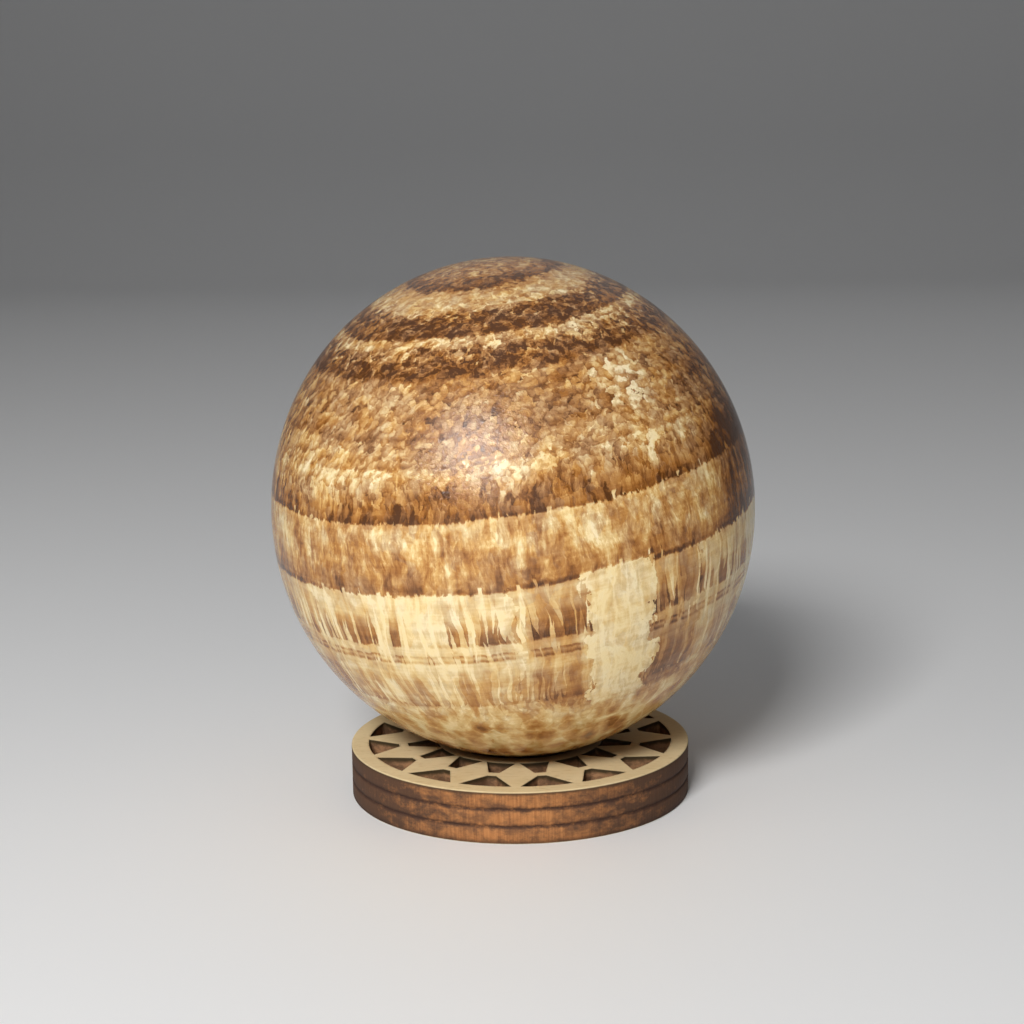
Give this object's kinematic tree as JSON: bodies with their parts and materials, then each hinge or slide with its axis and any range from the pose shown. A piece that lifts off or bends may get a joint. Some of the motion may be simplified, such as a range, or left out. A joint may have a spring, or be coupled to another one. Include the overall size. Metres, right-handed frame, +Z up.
{
  "type": "decorative sphere",
  "caption": "Polished banded stone ball resting in the middle hole of a small round fretwork wooden stand, to stand on a shelf or table as an ornament.",
  "frame": {"origin": "middle of the stand's underside, on the axis of its outer edge and of its middle hole", "axes": "+Z up through the ball; -Y towards the front, where one lozenge of the fretwork points; +X to the viewer's right"},
  "size_m": [0.0574, 0.0574, 0.0645],
  "materials": {
    "banded_stone": "gloss",
    "laser_cut_plywood": "matte"
  },
  "bodies": {
    "root": {"stone_sphere": "banded_stone", "stand": "laser_cut_plywood"}
  },
  "joints": []
}
